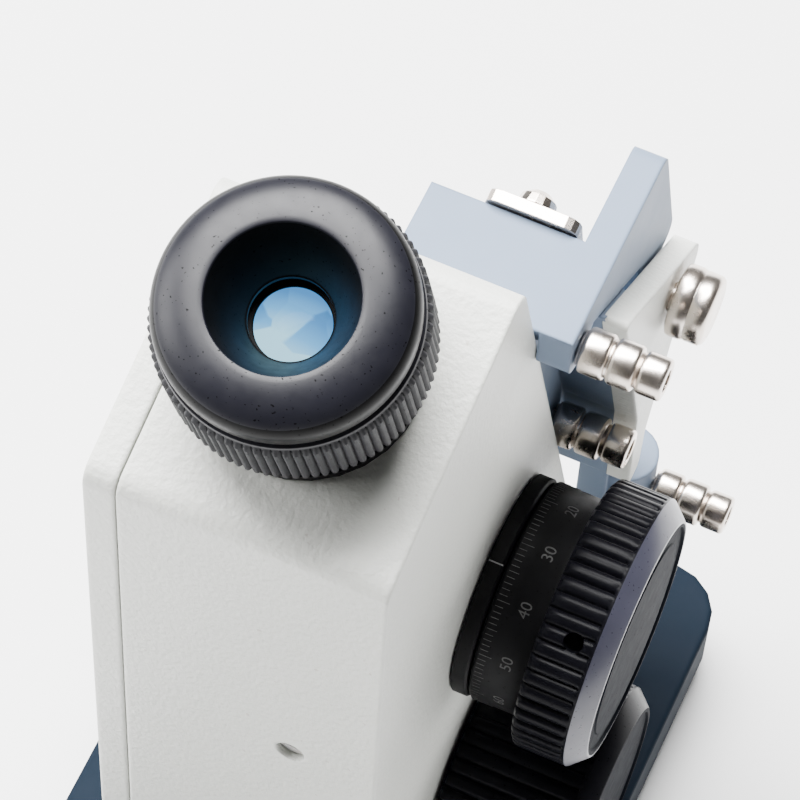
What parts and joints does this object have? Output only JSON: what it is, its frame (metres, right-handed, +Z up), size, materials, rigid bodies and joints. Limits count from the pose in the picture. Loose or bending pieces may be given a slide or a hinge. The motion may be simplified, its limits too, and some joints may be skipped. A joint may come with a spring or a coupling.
{
  "type": "refractometer",
  "caption": "Bench refractometer with a leaning eyepiece, side knobs for dispersion and adjustment, a hinged pair of prism boxes with water nozzles, and a weighted base.",
  "frame": {"origin": "on the table, under the middle of the base", "axes": "+X to the right of a user at the eyepiece, +Y away from the user, +Z up"},
  "size_m": [0.1, 0.2, 0.238],
  "materials": {
    "cream_paint": "fine textured paint",
    "slate_paint": "fine textured paint",
    "pale_blue_paint": "satin paint",
    "black_plastic": "moulded, glossy face",
    "black_anodised": "matt black anodised",
    "nickel": "nickel plated",
    "steel": "turned",
    "brass": "turned",
    "aluminium": "turned",
    "rubber": "matt",
    "optical_glass": "polished",
    "mirror": "silvered"
  },
  "bodies": {
    "stand": {"base_casting": "slate_paint", "rubber_foot_front_left": "rubber", "rubber_foot_front_right": "rubber", "rubber_foot_back_left": "rubber", "rubber_foot_back_right": "rubber", "base_screw_front": "steel", "base_screw_back": "steel", "housing": "cream_paint", "left_cover": "cream_paint", "cover_screw_low_front": "nickel", "cover_screw_low_back": "nickel", "cover_screw_top": "nickel", "eyepiece_collar": "black_anodised", "telescope_tube": "aluminium", "reticle": "optical_glass", "objective_lens": "optical_glass", "index_ring": "black_anodised", "dispersion_bush": "brass", "adjusting_bush": "black_anodised", "pivot_stud": "steel", "lower_prism_box": "cream_paint", "refracting_prism": "optical_glass", "hinge_spindle": "nickel", "thermometer_seat": "pale_blue_paint", "nozzle_lower": "nickel", "nozzle_lower_left": "nickel", "nozzle_seat": "nickel", "reflector_bracket": "black_anodised", "condenser_lens": "optical_glass", "light_mirror_bracket": "black_anodised"},
    "diopter": {"diopter_ring": "black_plastic"},
    "eyepiece_lenses": {"lens_cell": "black_anodised", "eye_lens": "optical_glass", "field_lens": "optical_glass"},
    "dispersion_knob": {"dispersion_grip": "black_plastic", "graduated_ring": "black_anodised", "grip_set_screw": "steel", "dispersion_shaft": "steel"},
    "front_amici": {"amici_cell_front": "brass", "amici_prism_front": "optical_glass"},
    "rear_amici": {"amici_cell_rear": "brass", "amici_prism_rear": "optical_glass"},
    "adjusting_knob": {"adjusting_wheel": "black_plastic", "adjusting_shaft": "steel"},
    "scale_and_mirror": {"sector_gear": "brass", "mirror_carrier": "aluminium", "swing_mirror": "mirror", "scale_plate": "optical_glass"},
    "upper_box": {"upper_prism_box": "pale_blue_paint", "illuminating_prism": "optical_glass", "shield_clip": "nickel", "shield_screw": "nickel", "nozzle_upper_right": "nickel"},
    "flap": {"shield_flap": "black_anodised"},
    "prism_lock": {"lock_knob": "black_plastic"},
    "reflector": {"reflector_frame": "black_anodised", "reflector_mirror": "mirror"},
    "light_mirror": {"light_mirror_frame": "black_anodised", "light_mirror_glass": "mirror"},
    "calibration": {"calibration_screw": "steel"}
  },
  "joints": [
    {"name": "diopter_turn", "type": "hinge", "parent": "stand", "child": "diopter", "pos_m": [-0.0065, 0.01312, 0.1989], "axis": [0, -0.2924, 0.9563], "range_deg": [-180, 180]},
    {"name": "lens_travel", "type": "slide", "parent": "stand", "child": "eyepiece_lenses", "axis": [0, -0.2924, 0.9563], "range_m": [-0.0013, 0.0013]},
    {"name": "dispersion_turn", "type": "hinge", "parent": "stand", "child": "dispersion_knob", "pos_m": [0, 0.0372, 0.1055], "axis": [1, 0, 0], "continuous": true},
    {"name": "front_amici_turn", "type": "hinge", "parent": "stand", "child": "front_amici", "pos_m": [-0.0065, 0.01312, 0.1989], "axis": [0, -0.2924, 0.9563], "continuous": true},
    {"name": "rear_amici_turn", "type": "hinge", "parent": "stand", "child": "rear_amici", "pos_m": [-0.0065, 0.01312, 0.1989], "axis": [0, -0.2924, 0.9563], "continuous": true},
    {"name": "adjusting_turn", "type": "hinge", "parent": "stand", "child": "adjusting_knob", "pos_m": [0, 0.033, 0.044], "axis": [1, 0, 0], "range_deg": [-150, 150]},
    {"name": "scale_swing", "type": "hinge", "parent": "stand", "child": "scale_and_mirror", "pos_m": [0, 0.05775, 0.06875], "axis": [1, 0, 0], "range_deg": [-25.2, 25.2]},
    {"name": "prism_box_open", "type": "hinge", "parent": "stand", "child": "upper_box", "pos_m": [0, 0.0853, 0.1398], "axis": [-1, 0, 0], "range_deg": [0, 105]},
    {"name": "flap_open", "type": "hinge", "parent": "upper_box", "child": "flap", "pos_m": [0.011, 0.06757, 0.17231], "axis": [1, 0, 0], "range_deg": [0, 85]},
    {"name": "prism_lock_turn", "type": "hinge", "parent": "stand", "child": "prism_lock", "pos_m": [-0.0075, 0.066, 0.14], "axis": [-1, 0, 0], "range_deg": [0, 90]},
    {"name": "reflector_tilt", "type": "hinge", "parent": "stand", "child": "reflector", "pos_m": [0.004, 0.0815, 0.074], "axis": [1, 0, 0], "range_deg": [-35, 25]},
    {"name": "light_mirror_tilt", "type": "hinge", "parent": "stand", "child": "light_mirror", "pos_m": [-0.0375, 0.0436, 0.038], "axis": [0, 1, 0], "range_deg": [-40, 28]},
    {"name": "calibration_turn", "type": "hinge", "parent": "stand", "child": "calibration", "pos_m": [0.0048, -0.01, 0.1217], "axis": [0, 1, 0], "range_deg": [-180, 180]}
  ],
  "couplings": [
    {"joint": "lens_travel", "follows": "diopter_turn", "m_per_rad": 0.0003979},
    {"joint": "front_amici_turn", "follows": "dispersion_turn", "ratio": -0.42857},
    {"joint": "rear_amici_turn", "follows": "dispersion_turn", "ratio": 0.42857},
    {"joint": "scale_swing", "follows": "adjusting_turn", "ratio": -0.16667}
  ]
}
